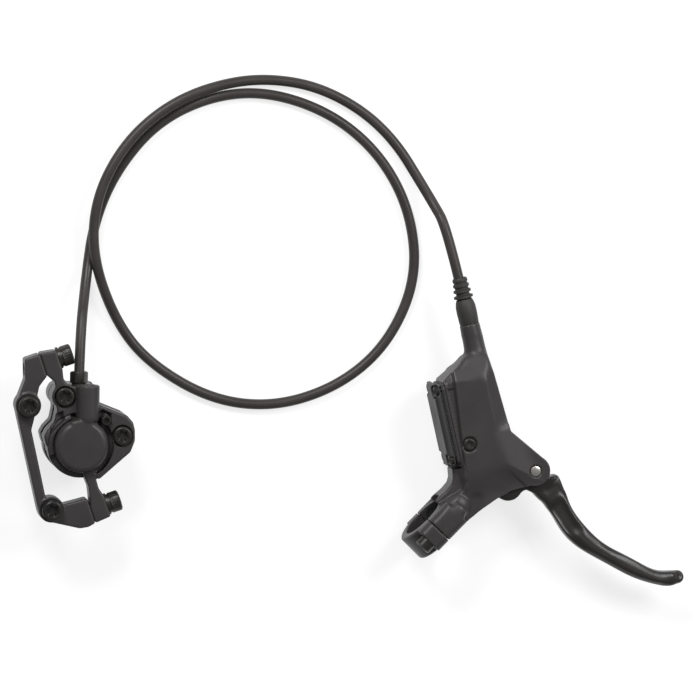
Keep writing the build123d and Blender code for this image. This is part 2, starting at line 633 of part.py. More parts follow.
def lever_blade():
    low, high = -4.4, 4.4
    x, y = BARREL_AT
    web = [(x - 0.6, y + 4.3), (x + 3.9, y + 6.9), (-3.0, 6.0), (4.0, 5.0), (6.6, -1.6), (7.6, -12.0),
           (-1.4, -12.0), (-5.9, -8.4), (x + 3.9, y - 6.7), (x - 1.1, y - 5.7)]
    hub = slab(web, LEVER_Z + low, LEVER_Z + high)
    hub += rod(6.6, (0, 0, LEVER_Z + low), (0, 0, LEVER_Z + high))
    hub += rod(7.4, (*BARREL_AT, LEVER_Z + low), (*BARREL_AT, LEVER_Z + high))
    hub += rod(7.0, (x + 0.9, y - 1.7, LEVER_Z + low), (x + 0.9, y - 1.7, LEVER_Z + high))
    blade = hub + blade_finger() + Pos(59.0, -68.9, LEVER_Z) * Sphere(3.5)
    blade -= rod(PIVOT_RADIUS + BUSH_WALL + THREAD_FIT, (0, 0, 0), (0, 0, 60))
    blade -= rod(BARREL_RADIUS + SLIDE_FIT, (x, y, 0), (x, y, 60))
    for step in range(6):
        angle = step * (PULL_ANGLE + 3) / 5 - 1.5
        for way in (90, -90):
            tip = Vector(x, y) + polar(24, way + angle)
            blade -= rod(2.5, (x, y, LEVER_Z), (tip.X, tip.Y, LEVER_Z))
    return blade


def pivot_pin():
    low, high = LEVER_Z - ARM_HALF - 0.3, LEVER_Z + ARM_HALF + 0.3
    pin = rod(PIVOT_RADIUS, (0, 0, low), (0, 0, high))
    return chamfer(pin.edges().filter_by(GeomType.CIRCLE), 0.3)


def pivot_bush():
    outer, inner = PIVOT_RADIUS + BUSH_WALL, PIVOT_RADIUS + SLIDE_FIT
    return ring(outer, inner, (0, 0, LEVER_Z - 4.4), (0, 0, LEVER_Z + 4.4))


def push_barrel():
    x, y = BARREL_AT
    barrel = rod(BARREL_RADIUS, (x, y, LEVER_Z - 4.3), (x, y, LEVER_Z + 4.3))
    return barrel - rod(2.0 + THREAD_FIT, (x, y - 9, LEVER_Z), (x, y + 9, LEVER_Z))


def reach_screw():
    x, y = BARREL_AT
    screw = rod(2.0, (x, y - 8.2, LEVER_Z), (x, PUSH_TIP, LEVER_Z))
    screw += Pos(x, PUSH_TIP, LEVER_Z) * Sphere(2.0)
    return screw - hexagon(2.0, (x, y - 9, LEVER_Z), (x, y - 6, LEVER_Z))


def master_piston():
    piston = rod(BORE_RADIUS - SLIDE_FIT, in_bore(PISTON_REAR), in_bore(PISTON_FRONT))
    piston -= rod(3.5, in_bore(PISTON_FRONT - STROKE - 5.0), in_bore(PISTON_FRONT + 1))
    seat = Plane(origin=in_bore(PISTON_REAR), z_dir=(0, 1, 0)) * Circle(4.0)
    floor = Plane(origin=in_bore(PUSH_TIP + 0.2), z_dir=(0, 1, 0)) * Circle(2.4)
    piston -= loft([seat, floor]) + Pos(*in_bore(PUSH_TIP + 0.2)) * Sphere(2.4)
    for start in (SEAL_FRONT, SEAL_REAR):
        piston -= ring(6.0, 4.0, in_bore(start), in_bore(start + 1.8))
    return piston


def master_seal(start):
    outer, inner = BORE_RADIUS - SLIDE_FIT / 2, 4.0 + SLIDE_FIT / 2
    return ring(outer, inner, in_bore(start + 0.1), in_bore(start + 1.7))


def return_spring():
    wire, radius, pitch, turns = 0.45, 2.6, 2.4, 5
    path = Helix(pitch, pitch * turns, radius)
    start = path @ 0
    section = Plane(origin=start, z_dir=path % 0) * Circle(wire)
    coil = sweep(section, path)
    return Plane(origin=in_bore(BORE_FLOOR - 0.6), z_dir=(0, -1, 0)) * coil


def piston_circlip():
    start = CIRCLIP_AT + 0.05
    clip = ring(CIRCLIP_RADIUS, 3.3, in_bore(start), in_bore(start + CIRCLIP_THICK))
    return clip - Pos(CYLINDER_X, CIRCLIP_AT, LEVER_Z - 5) * Box(3.0, 4, 5.0)


def lever_hose_nut():
    nut = rod(FITTING_RADIUS - THREAD_FIT, in_bore(FITTING_FLOOR + 6.0), in_bore(CYLINDER_END))
    nut += hexagon(7.0, in_bore(CYLINDER_END + 0.05), in_bore(83.0))
    nut += rod(3.2, in_bore(CYLINDER_END - 1), in_bore(CYLINDER_END + 1))
    return nut - rod(HOSE_BORE, in_bore(60), in_bore(90))


def lever_olive():
    return ring(FITTING_RADIUS - 0.1, HOSE_BORE, in_bore(FITTING_FLOOR + 2.0), in_bore(FITTING_FLOOR + 5.9))


def hose_boot():
    foot = CYLINDER_END + 0.1
    boot = rod(4.75, in_bore(foot), in_bore(85.6))
    shoulder = [Plane(origin=in_bore(85.6), z_dir=(0, 1, 0)) * Circle(4.75),
                Plane(origin=in_bore(88.8), z_dir=(0, 1, 0)) * Circle(3.9)]
    boot += loft(shoulder) + rod(3.1, in_bore(88.0), in_bore(BOOT_END))
    for y, radius in BOOT_RIBS:
        boot += rod(radius, in_bore(y - 0.8), in_bore(y + 0.8))
    boot -= rod(4.15, in_bore(foot - 1), in_bore(83.4))
    return boot - rod(HOSE_BORE, in_bore(80), in_bore(BOOT_END + 1))


# Route of the hose from inside the caliper's port to inside the lever's fitting
def placed(at, turn, point):
    """Point of a plan frame, in the layout."""
    x, y, z = point
    flat = polar(x, turn) + polar(y, turn + 90)
    return (at[0] + flat.X, at[1] + flat.Y, z)


FLOOR_LINE = HOSE_RADIUS + 0.1
CALIPER_STRAIGHT = 14.0
LEVER_STRAIGHT = 23.0
HOSE_POINTS = (
    (-129.0, 32.5, 6.0), (-125.0, 59.5, FLOOR_LINE), (-114.5, 84.5, FLOOR_LINE),
    (-95.0, 108.0, FLOOR_LINE), (-68.0, 121.0, FLOOR_LINE), (-40.0, 123.0, FLOOR_LINE),
    (-9.0, 112.5, FLOOR_LINE), (15.0, 92.5, FLOOR_LINE), (30.0, 65.0, FLOOR_LINE),
    (33.5, 32.5, FLOOR_LINE), (20.0, 1.0, FLOOR_LINE), (-3.5, -19.5, FLOOR_LINE),
    (-35.0, -30.0, FLOOR_LINE), (-67.0, -26.5, FLOOR_LINE), (-98.5, -8.0, FLOOR_LINE),
    (-115.0, 13.5, 3.2), (-126.5, 44.0, 9.4), (-125.0, 71.0, 9.2), (-113.0, 95.0, 7.5),
    (-95.0, 113.0, 6.7), (-72.5, 124.5, 5.2), (-44.0, 130.0, FLOOR_LINE),
    (-12.5, 125.0, FLOOR_LINE), (18.0, 105.5, FLOOR_LINE), (39.0, 72.0, 6.0),
)


def hose_route():
    ends = [placed(CALIPER_AT, CALIPER_TURN, port_point(depth))
            for depth in (PORT_DEPTH - 0.2, -NUT_LENGTH - CALIPER_STRAIGHT)]
    lever = [placed(LEVER_AT, LEVER_TURN, in_bore(y))
             for y in (BOOT_END + LEVER_STRAIGHT, FITTING_FLOOR + 0.3)]
    return [*ends, *HOSE_POINTS, *lever]


def hose_radii(points):
    """Largest tangent arc at each corner that its two runs leave room for."""
    radii = []
    for before, corner, after in zip(points, points[1:], points[2:]):
        first = Vector(*corner) - Vector(*before)
        second = Vector(*after) - Vector(*corner)
        turn = math.radians(first.get_angle(second))
        radii.append(0.45 * min(first.length, second.length) / math.tan(turn / 2))
    return radii


def brake_hose():
    points = hose_route()
    radii = hose_radii(points)
    path = FilletPolyline(*points, radius=radii)
    print("hose radii", [round(radius) for radius in radii], "length", round(path.length, 1))
    section = Plane(origin=path @ 0, z_dir=path % 0) * Circle(HOSE_RADIUS)
    tube = sweep(section, path)
    print("hose volume over section times length", tube.volume / (path.length * math.pi * HOSE_RADIUS ** 2))
    return tube


CALIPER_PIECES = {
    "caliper_outer_half": caliper_outer_half,
    "caliper_inner_half": caliper_inner_half,
    "outer_piston": lambda: caliper_piston(1),
    "inner_piston": lambda: caliper_piston(-1),
    "caliper_piston_seals": lambda: [caliper_seal(1), caliper_seal(-1)],
    "outer_pad_plate": lambda: pad_plate(1),
    "inner_pad_plate": lambda: pad_plate(-1),
    "outer_pad_lining": lambda: pad_lining(1),
    "inner_pad_lining": lambda: pad_lining(-1),
    "pad_spring": pad_spring,
    "pad_pin": pad_pin,
    "caliper_body_bolts": body_bolts,
    "crossover_o_ring": crossover_o_ring,
    "post_mount_washers": post_washers,
    "post_mount_bolts": post_bolts,
    "mount_adapter": mount_adapter,
    "adapter_washers": frame_washers,
    "adapter_bolts": frame_bolts,
    "caliper_hose_nut": caliper_hose_nut,
    "caliper_olive": caliper_olive,
    "bleed_plug": bleed_plug,
}
LEVER_PIECES = {
    "lever_body": lever_body,
    "reservoir_cap": reservoir_cap,
    "reservoir_diaphragm": reservoir_diaphragm,
    "reservoir_screws": reservoir_screws,
    "bleed_screw": bleed_screw,
    "clamp_cap": clamp_cap,
    "clamp_bolts": clamp_bolts,
    "lever_blade": lever_blade,
    "lever_pivot_pin": pivot_pin,
    "pivot_bush": pivot_bush,
    "push_barrel": push_barrel,
    "reach_screw": reach_screw,
    "master_piston": master_piston,
    "master_primary_seal": lambda: master_seal(SEAL_FRONT),
    "master_secondary_seal": lambda: master_seal(SEAL_REAR),
    "return_spring": return_spring,
    "piston_circlip": piston_circlip,
    "lever_hose_nut": lever_hose_nut,
    "lever_olive": lever_olive,
    "hose_boot": hose_boot,
}


def as_shape(made):
    return Compound(children=list(made)) if isinstance(made, list) else made


def build():
    """Every piece in the layout, before the origin is set."""
    pieces = {}
    caliper = (CALIPER_PIECES, CALIPER_AT, CALIPER_TURN)
    for table, at, turn in (caliper, (LEVER_PIECES, LEVER_AT, LEVER_TURN)):
        place = Location((at[0], at[1], 0), (0, 0, turn))
        for name, maker in table.items():
            pieces[name] = place * as_shape(maker())
    return pieces


def origin_shift(pieces):
    """Middle of the underside of everything but the hose."""
    boxes = [piece.bounding_box() for piece in pieces.values()]
    low = [min(getattr(box.min, axis) for box in boxes) for axis in "XYZ"]
    high = [max(getattr(box.max, axis) for box in boxes) for axis in "XYZ"]
    return (-(low[0] + high[0]) / 2, -(low[1] + high[1]) / 2, -low[2])


PIECES = build()
SHIFT = origin_shift(PIECES)
PIECES["brake_hose"] = brake_hose()
print("shift", SHIFT)
for node, piece in PIECES.items():
    export_step(Pos(*SHIFT) * piece, f"parts/{node}.step")
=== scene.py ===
# %% [markdown]
# # A hydraulic disc brake for a bicycle, laid flat
# The solids of the brake come ready made, in metres, each one where it belongs. This lesson gives
# them their looks: the hose, the soft edges of cast alloy, the screws, the paint and the light.
# The frame is loaded first; the finished brake must stay the size of its solids.

# %% Load the frame
import json
import math

import bmesh
import bpy
import numpy as np
from mathutils import Matrix, Vector


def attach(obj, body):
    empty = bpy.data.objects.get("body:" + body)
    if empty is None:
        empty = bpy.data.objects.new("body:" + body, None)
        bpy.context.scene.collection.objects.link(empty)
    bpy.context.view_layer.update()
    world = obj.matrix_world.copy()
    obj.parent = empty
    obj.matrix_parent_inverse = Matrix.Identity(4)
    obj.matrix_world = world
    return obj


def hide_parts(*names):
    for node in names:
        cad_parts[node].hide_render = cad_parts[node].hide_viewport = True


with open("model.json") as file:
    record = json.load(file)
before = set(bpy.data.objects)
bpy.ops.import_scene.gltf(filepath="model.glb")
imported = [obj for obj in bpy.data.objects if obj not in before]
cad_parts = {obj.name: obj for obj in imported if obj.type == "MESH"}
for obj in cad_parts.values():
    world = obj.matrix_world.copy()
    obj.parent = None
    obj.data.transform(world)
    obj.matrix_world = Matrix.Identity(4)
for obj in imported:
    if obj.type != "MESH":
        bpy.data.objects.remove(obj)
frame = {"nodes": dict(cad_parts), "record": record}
nodes = frame["nodes"]
bodies = frame["record"]["behaviour"]["bodies"]
body_of_node = {name: body for body, members in bodies.items() for name in members}
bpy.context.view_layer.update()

# %% [markdown]
# ## The camera
# The photo is a catalogue picture taken from almost straight above with a long lens, leaning a
# little to the left and a little up the table: walls that face those ways just show. The camera
# stands 2.5 m away and its field is 0.34 m wide there. Its three axes are worked out one by one, so
# that the row's X runs level across the picture.

# %% Camera
LEAN_LEFT, LEAN_UP = math.radians(10.0), math.radians(5.0)
VIEW_DISTANCE = 2.5
VIEW_WIDTH = 0.3395
SENSOR_WIDTH = 36         # millimetres
look_at = Vector((-0.0005, 0.0393, 0.0099))
towards_camera = Vector((-math.tan(LEAN_LEFT), math.tan(LEAN_UP), 1)).normalized()
picture_up = towards_camera.cross(Vector((1, 0, 0))).normalized()
picture_right = picture_up.cross(towards_camera)
camera = bpy.data.objects.new("camera", bpy.data.cameras.new("camera"))
bpy.context.scene.collection.objects.link(camera)
camera.location = look_at + towards_camera * VIEW_DISTANCE
camera.rotation_euler = Matrix((picture_right, picture_up, towards_camera)).transposed().to_euler()
camera.data.sensor_width = SENSOR_WIDTH
camera.data.lens = SENSOR_WIDTH * VIEW_DISTANCE / VIEW_WIDTH
bpy.context.scene.camera = camera
print("camera at", [round(v, 3) for v in camera.location], "lens", round(camera.data.lens, 1))

# %% [markdown]
# ## Shared steps
# The caliper and the lever are each thought of in a plan of their own, in millimetres, as their
# solids were drawn: x and y in the plane of the table, the piston axis or the blade's pivot at the
# origin, and z the real height. Two functions turn such points into the row's metres and back.
#
# A piece is put on its body with one call, and a piece that stands for a solid names it. Most new
# pieces are grids: every point comes at once as one array, and the faces join each point to its
# neighbours. A grid that closes on itself leaves doubled points at its poles, so those are merged
# and the faces are turned outwards.

# %% Helpers for pieces
MM = 0.001
LEVER = (np.array((88.87, -18.21)), math.radians(13.45))      # a plan's origin in the row, and its turn
CALIPER = (np.array((-134.13, -4.26)), math.radians(18.7))
LEVER_Z = 19.5            # middle plane of the lever
SAME_PLACE = 1e-6         # points nearer than this, in metres, are one
SHARP_ANGLE = 35          # degrees between faces above which a grid's edge stays sharp
stand_ins = {}            # the piece that stands for each node


def to_row(points, plan):
    """Plan points in millimetres to the row's metres."""
    (x0, y0), turn = plan
    points = np.asarray(points, float)
    c, s = math.cos(turn), math.sin(turn)
    x = x0 + points[..., 0] * c - points[..., 1] * s
    y = y0 + points[..., 0] * s + points[..., 1] * c
    return np.stack((x, y, points[..., 2]), -1) * MM


def to_plan(points, plan):
    """The way back: points in metres to plan millimetres."""
    (x0, y0), turn = plan
    dx, dy = points[:, 0] / MM - x0, points[:, 1] / MM - y0
    c, s = math.cos(turn), math.sin(turn)
    return np.stack((dx * c + dy * s, dy * c - dx * s, points[:, 2] / MM), -1)


def add_object(name, mesh, stands_for):
    """Link a mesh, ride it on the body of the solid that it stands for, and hide that solid."""
    piece = bpy.data.objects.new(name, mesh)
    bpy.context.scene.collection.objects.link(piece)
    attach(piece, body_of_node[stands_for])
    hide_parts(stands_for)
    stand_ins[stands_for] = piece


def grid_mesh(name, grids):
    """One mesh from grids of points (rows, columns, 3) whose columns close into rings."""
    verts, faces, start = [], [], 0
    for grid in grids:
        rows, columns = grid.shape[:2]
        index = start + np.arange(rows * columns).reshape(rows, columns)
        right = np.roll(index, -1, axis=1)
        faces.append(np.stack((index[:-1], right[:-1], right[1:], index[1:]), -1).reshape(-1, 4))
        verts.append(grid.reshape(-1, 3))
        start += rows * columns
    mesh = bpy.data.meshes.new(name)
    mesh.from_pydata(np.concatenate(verts), [], np.concatenate(faces).tolist())
    work = bmesh.new()
    work.from_mesh(mesh)
    bmesh.ops.remove_doubles(work, verts=work.verts, dist=SAME_PLACE)
    bmesh.ops.dissolve_degenerate(work, edges=work.edges, dist=SAME_PLACE)
    bmesh.ops.recalc_face_normals(work, faces=work.faces)
    work.to_mesh(mesh)
    work.free()
    mesh.shade_smooth()
    mesh.set_sharp_from_angle(angle=math.radians(SHARP_ANGLE))
    return mesh


# %% [markdown]
# ## The hose
# The hose is one length of 5 mm nylon tube, 0.88 m from the caliper's nut to the boot on the lever,
# and all but its ends shows. It leaves both ends straight, falls to the table, and makes one full
# loose turn and a part of a second that lies over the first near the caliper. A curve with a
# round bevel follows a few listed points, which keeps its bends as even as a real hose's. The
# bevel is one metre deep and each point scales it to the hose's radius, because a curve's box
# counts a point's own radius, and the usual radius of one metre would make the box too large.

# %% Hose
HOSE_ROUTE = np.array((
    (-134.8, 13.7, 27.0), (-134.6, 44.6, 27.0), (-129.3, 73.4, 6.0), (-125.3, 100.4, 2.6),
    (-114.8, 125.4, 2.6), (-95.3, 148.9, 2.6), (-68.3, 161.9, 2.6), (-40.3, 163.9, 2.6),
    (-9.3, 153.4, 2.6), (14.7, 133.4, 2.6), (29.7, 105.9, 2.6), (33.2, 73.4, 2.6),
    (19.7, 41.9, 2.6), (-3.8, 21.4, 2.6), (-35.3, 10.9, 2.6), (-67.3, 14.4, 2.6),
    (-98.8, 32.9, 2.6), (-115.3, 54.4, 3.2), (-126.8, 84.9, 9.4), (-125.3, 111.9, 9.2),
    (-113.3, 135.9, 7.5), (-95.3, 153.9, 6.7), (-72.8, 165.4, 5.2), (-44.3, 170.9, 2.6),
    (-12.8, 165.9, 2.6), (17.7, 146.4, 2.6), (38.7, 112.9, 6.0), (45.7, 97.5, 19.5),
    (60.2, 36.9, 19.5))) * MM
HOSE_DIAMETER = 0.005
line = bpy.data.curves.new("hose", "CURVE")
line.dimensions = "3D"
line.bevel_depth = 1.0
line.bevel_resolution = 8
line.resolution_u = 24
line.use_fill_caps = True
spline = line.splines.new("NURBS")
spline.points.add(len(HOSE_ROUTE) - 1)
spline.points.foreach_set("co", np.column_stack((HOSE_ROUTE, np.ones(len(HOSE_ROUTE)))).ravel())
spline.points.foreach_set("radius", np.full(len(HOSE_ROUTE), HOSE_DIAMETER / 2))
spline.order_u = 3
spline.use_endpoint_u = True
hose = bpy.data.objects.new("hose", line)
bpy.context.scene.collection.objects.link(hose)
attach(hose, "root")
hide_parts("brake_hose")
stand_ins["brake_hose"] = hose
print("hose through", len(HOSE_ROUTE), "points")

# %% [markdown]
# ## Soft edges
# Real castings and forgings have no knife edges: blasting, painting and handling round them, and a
# round edge is what catches the light. The caliper, adapter, lever, clamp cap, blade and reservoir
# cap are copies of their solids, wrapped again in an even skin of small squares and then smoothed,
# so each edge becomes a narrow round and each inner corner a small fillet. How far a point sticks
# out from its neighbours is kept as an attribute for the paint to wear. A bevel on each edge would
# do the same, but it fails where a solid's edges meet at sharp angles, and the skin doesn't care how
# they meet.

# %% Soft copies
def points_of(mesh):
    """Corners of a mesh, one in each row."""
    points = np.empty(len(mesh.vertices) * 3)
    mesh.vertices.foreach_get("co", points)
    return points.reshape(-1, 3)


def ends_of(mesh):
    """Both ends of every edge, each way round: a point and its neighbour in each row."""
    pairs = np.empty(len(mesh.edges) * 2, np.int64)
    mesh.edges.foreach_get("vertices", pairs)
    pairs = pairs.reshape(-1, 2)
    return np.concatenate((pairs, pairs[:, ::-1]))


EDGE_REACH = 6.0          # the wear is full where a point stands out by a sixth of a millimetre
SPREAD_ROUNDS, MELT_ROUNDS = 2, 50


def mark_edges(mesh):
    """Attribute edge: how far each point stands out from the mean of its neighbours, 0 to 1."""
    points = points_of(mesh)
    normals = np.empty(len(points) * 3)
    mesh.vertex_normals.foreach_get("vector", normals)
    normals = normals.reshape(-1, 3)
    both = ends_of(mesh)
    count = np.maximum(np.bincount(both[:, 0], minlength=len(points)), 1)
    mean = np.stack([np.bincount(both[:, 0], points[both[:, 1], i], len(points)) for i in range(3)], -1)
    out = np.einsum("ij,ij->i", points - mean / count[:, None], normals) / MM
    for _ in range(SPREAD_ROUNDS):
        out = np.bincount(both[:, 0], out[both[:, 1]], len(points)) / count
    layer = mesh.attributes.new("edge", "FLOAT", "POINT")
    layer.data.foreach_set("value", np.clip(out * EDGE_REACH, 0, 1).astype(np.float32))


def melt(mesh, share):
    """Draw points to the mean of their neighbours, each by its share, over and over."""
    points, ends = points_of(mesh), ends_of(mesh)
    count = np.maximum(np.bincount(ends[:, 0], minlength=len(points)), 1)
    for _ in range(MELT_ROUNDS):
        mean = np.stack([np.bincount(ends[:, 0], points[ends[:, 1], i], len(points)) for i in range(3)], -1)
        points += (mean / count[:, None] - points) * share[:, None]
    mesh.vertices.foreach_set("co", points.ravel())
    mesh.update()


def soft_copy(name, node, cell, rounds, shape=None, melting=None):
    """Copy of a solid with a fresh even skin of squares that are cell millimetres wide.

    The skin is smoothed rounds times, shape then moves its points, and melting gives each point's
    share of a second smoothing.
    """
    mesh = nodes[node].data.copy()
    mesh.materials.clear()
    work = bmesh.new()
    work.from_mesh(mesh)
    bmesh.ops.remove_doubles(work, verts=work.verts, dist=2 * SAME_PLACE)
    work.to_mesh(mesh)
    work.free()
    piece = bpy.data.objects.new(name, mesh)
    bpy.context.scene.collection.objects.link(piece)
    skin = piece.modifiers.new("skin", "REMESH")
    skin.mode = "VOXEL"
    skin.voxel_size = cell * MM
    even = piece.modifiers.new("even", "SMOOTH")
    even.factor = 0.5
    even.iterations = rounds
    graph = bpy.context.evaluated_depsgraph_get()
    skinned = bpy.data.meshes.new_from_object(piece.evaluated_get(graph))
    piece.modifiers.clear()
    piece.data = skinned
    if shape:
        skinned.vertices.foreach_set("co", shape(points_of(skinned)).ravel())
        skinned.update()
    if melting:
        melt(skinned, melting(points_of(skinned)))
    skinned.shade_smooth()
    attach(piece, body_of_node[node])
    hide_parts(node)
    stand_ins[node] = piece
    mark_edges(skinned)
    print(name, len(skinned.polygons), "faces")


# %% [markdown]
# ## Forged shapes
# A forging has shallow recesses, ridges and scoops that its solid leaves out. Each is a depth given
# over the plan: the skin's points sink towards the middle plane by that much, with smooth borders.
# Only points near the outer faces move, so the slots and bores inside keep their shape. Each border
# is a distance from a line or an outline, and a ramp between two such distances makes it smooth.

# %% Ramps and distances
def ramp(value, start, end):
    """0 before start, 1 after end, and a smooth run between them."""
    share = np.clip((value - start) / (end - start), 0, 1)
    return share * share * (3 - 2 * share)


def beside(points, start, end):
    """Distance of plan points from the line through two points, positive on its left."""
    along = np.subtract(end, start) / math.dist(start, end)
    return along[0] * (points[:, 1] - start[1]) - along[1] * (points[:, 0] - start[0])


def within(points, corners):
    """Distance inside a convex outline whose corners run to the left, negative outside."""
    return np.min([beside(points, a, b) for a, b in zip(corners, (*corners[1:], corners[0]))], axis=0)


def from_stretch(points, start, end):
    """Distance of plan points from a straight stretch."""
    along = np.subtract(end, start)
    share = np.clip(((points[:, :2] - start) @ along) / (along @ along), 0, 1)
    return np.linalg.norm(points[:, :2] - start - share[:, None] * along, axis=1)


# %% [markdown]
# ### The lever's face
# On the real lever the reservoir's face runs down to the arm and the neck in one even slope, where
# the solid has steps, so the points there are moved to the height of the slope. The neck is thinner
# along its left side, a boss covers the end of the clamp's barrels with a valley beside it, a crease
# runs down beside the ear, the pin sits in a dish, and a low rim follows the cap. The skin's round
# edges have widened the clamp's split, so it is narrowed again.

# %% Lever
RESERVOIR_HALF, NECK_HALF, ARM_HALF = 11.5, 9.0, 8.3      # half thickness of the lever's parts
FACE_SIDE = (-9.5, 4.0), (-13.5, 27.0)                    # right side of the reservoir's face
FACE_FOOT = 4.0                                           # and where its lower end begins
NECK_EDGE = (-45.0, -3.8), (-37.0, -1.0), (-34.1, 2.5), (-33.6, 8.0)
BOSS_LINE = (-41.5, -8.0), (-48.0, -12.0)
VALLEY_LINE = (-31.5, -6.5), (-34.5, -14.0)
CREASE = (-15.0, 7.3), (-5.6, -6.6)
NECK_DEPTH, BOSS_RISE, VALLEY_DEPTH = 1.9, 2.4, 0.8
CREASE_DEPTH, PIN_DISH, RIM_RISE = 0.9, 0.7, 0.4
CLAMP_AT, CLAMP_AXIS = np.array((-54.0, -15.6)), -57.7    # middle of the clamp and the bar's direction
CLAMP_CLOSING = 0.25      # how far each side of the split moves
BOOT_SHOULDER = (-17.5, 60.5)
BARREL_END = (-44.5, -9.5), (-42.0, -8.0)
LEVER_MELT = 0.6


def level_lever(points):
    """Move the steps under the reservoir's face to one even slope."""
    x, y = points[:, 0], points[:, 1]
    height = np.abs(points[:, 2] - LEVER_Z)
    inside = np.minimum(beside(points, *FACE_SIDE), y - FACE_FOOT)
    low = ARM_HALF + (NECK_HALF - ARM_HALF) * ramp(-x, 14, 30)
    level = low + (RESERVOIR_HALF - low) * ramp(inside, -11, 5)
    limit = 10 + 16 * ramp(x, -24, -15)
    share = (1 - ramp(y - limit, -3, 4)) * ramp(x, -37.5, -34.5) * ramp(height, 7.3, 8.0)
    points[:, 2] += np.sign(points[:, 2] - LEVER_Z) * (level - height) * share


def close_split(row_points):
    """Narrow the clamp's split: points near it move towards it."""
    points = to_plan(row_points, LEVER)
    turn = math.radians(CLAMP_AXIS + 90)
    away = np.array((math.cos(turn), math.sin(turn)))
    out = (points[:, :2] - CLAMP_AT) @ away
    closing = np.sign(out) * CLAMP_CLOSING * (1 - ramp(np.abs(out), 0.7, 2.2))
    points[:, :2] -= closing[:, None] * away
    return to_row(points, LEVER)


def shape_lever(row_points):
    """Depth over the plan: the neck, valley, crease and dish sink, and the boss and rim rise."""
    points = to_plan(row_points, LEVER)
    level_lever(points)
    pin = np.linalg.norm(points[:, :2], axis=1)
    neck = np.min([beside(points, a, b) for a, b in zip(NECK_EDGE, NECK_EDGE[1:])], axis=0)
    crease = -beside(points, *CREASE)
    beside_ear = ramp(crease, -0.2, 0.5) * (1 - ramp(crease, 0.5, 9)) * ramp(-points[:, 1], -6.5, 3)
    depth = NECK_DEPTH * ramp(neck, 0, 1.3)
    depth -= BOSS_RISE * (1 - ramp(from_stretch(points, *BOSS_LINE), 3.4, 7.0))
    depth += VALLEY_DEPTH * (1 - ramp(from_stretch(points, *VALLEY_LINE), 0.5, 4.5))
    depth += CREASE_DEPTH * beside_ear
    depth += PIN_DISH * (1 - ramp(pin, 2.7, 3.3))
    depth -= RIM_RISE * ramp(-points[:, 0], 33.9, 34.3) * ramp(points[:, 1], 11.0, 11.8)
    height = np.abs(points[:, 2] - LEVER_Z)
    outer = ramp(height, 5.0, 7.5) * (1 - ramp(height, 11.8, 12.5))
    points[:, 2] -= np.sign(points[:, 2] - LEVER_Z) * depth * outer
    return close_split(to_row(points, LEVER))


def melt_lever(row_points):
    """The shoulder under the boot and the end of the clamp's barrels flow into the body."""
    points = to_plan(row_points, LEVER)
    shoulder = 1 - ramp(np.linalg.norm(points[:, :2] - BOOT_SHOULDER, axis=1), 8, 12)
    shoulder *= ramp(points[:, 0], -29, -26)
    barrel = 1 - ramp(from_stretch(points, *BARREL_END), 3.5, 6.5)
    barrel *= ramp(np.abs(points[:, 2] - LEVER_Z), 6.5, 8.0)
    return LEVER_MELT * np.maximum(shoulder, barrel)


# %% [markdown]
# ### The caliper's face
# The outer half of the caliper is a dome over its piston with a rounded rim. At its upper left a
# shoulder fills the corner between it and the body, so points down there are lifted to the
# shoulder's slope. It and the rim are given by the distance from the piston's axis and the turn round
# it. A pocket lies round the pad pin, with a small peg left standing in it, and the flank beside
# the tube is sunk: those two are outlines on the plan.

# %% Caliper
HALF_TOP = 33.5           # outer faces of the caliper's lobes and of the adapter
DOME_TOP = 38.5
SHOULDER_TURN = 137       # degrees from the plan's x to the middle of the shoulder
TUBE_TURN = 71            # and to the tube, where the dome's rim stays as it is
POCKET = (11.4, 6.9), (14.2, 4.4), (17.0, 5.2), (18.6, 9.6), (15.2, 13.0), (12.9, 12.6)
PEG_AT = (15.6, 9.2)
FLANK = (-12.6, 9.4), (-3.6, 13.6), (-2.9, 18.4), (-9.5, 18.4)
POCKET_DEPTH, FLANK_DEPTH, CROWN_FALL = 2.6, 2.4, 1.1


def shape_caliper(row_points):
    """Lift the shoulder to its slope, round the dome's rim, and sink the pocket and the flank."""
    points = to_plan(row_points, CALIPER)
    middle = np.linalg.norm(points[:, :2], axis=1)
    turn = np.degrees(np.arctan2(points[:, 1], points[:, 0]))
    z = points[:, 2]      # a view: it follows every change below
    shoulder = ramp(middle, 12.9, 13.5) * (1 - ramp(middle, 16.6, 17.6))
    shoulder *= 1 - ramp(np.abs(turn - SHOULDER_TURN), 42, 56)
    shoulder *= ramp(z, HALF_TOP - 7.0, HALF_TOP - 5.5) * (1 - ramp(z, HALF_TOP - 0.8, HALF_TOP))
    z += (HALF_TOP - 0.4 - ramp(middle, 14, 17) - z) * shoulder
    crown = ramp(middle, 10.0, 13.2) * (1 - ramp(middle, 13.2, 13.7))
    crown *= ramp(np.abs(turn - TUBE_TURN), 22, 30)
    z -= CROWN_FALL * crown * ramp(z, DOME_TOP - 2.5, DOME_TOP - 1.0)
    peg = np.linalg.norm(points[:, :2] - PEG_AT, axis=1)
    depth = POCKET_DEPTH * ramp(within(points, POCKET), -0.2, 0.9) * ramp(peg, 1.0, 1.6)
    depth += FLANK_DEPTH * ramp(within(points, FLANK), -0.2, 0.9)
    z -= depth * ramp(z, HALF_TOP - 7.0, HALF_TOP - 2.5) * (1 - ramp(z, HALF_TOP + 0.7, HALF_TOP + 1.1))
    return to_row(points, CALIPER)


# %% [markdown]
# ### The blade
# The blade is the most handled part. For the finger it has a flange that falls away outwards, a
# shallow groove, and a wide band that falls to the inner edge. Near the pivot its head tapers and its
# upper face has a slanting facet and then a scoop. All of that is a function of two numbers: how far
# along the middle line a point lies, and how far across it. The tip is a small dished hook, sunk by
# the distance from its middle.

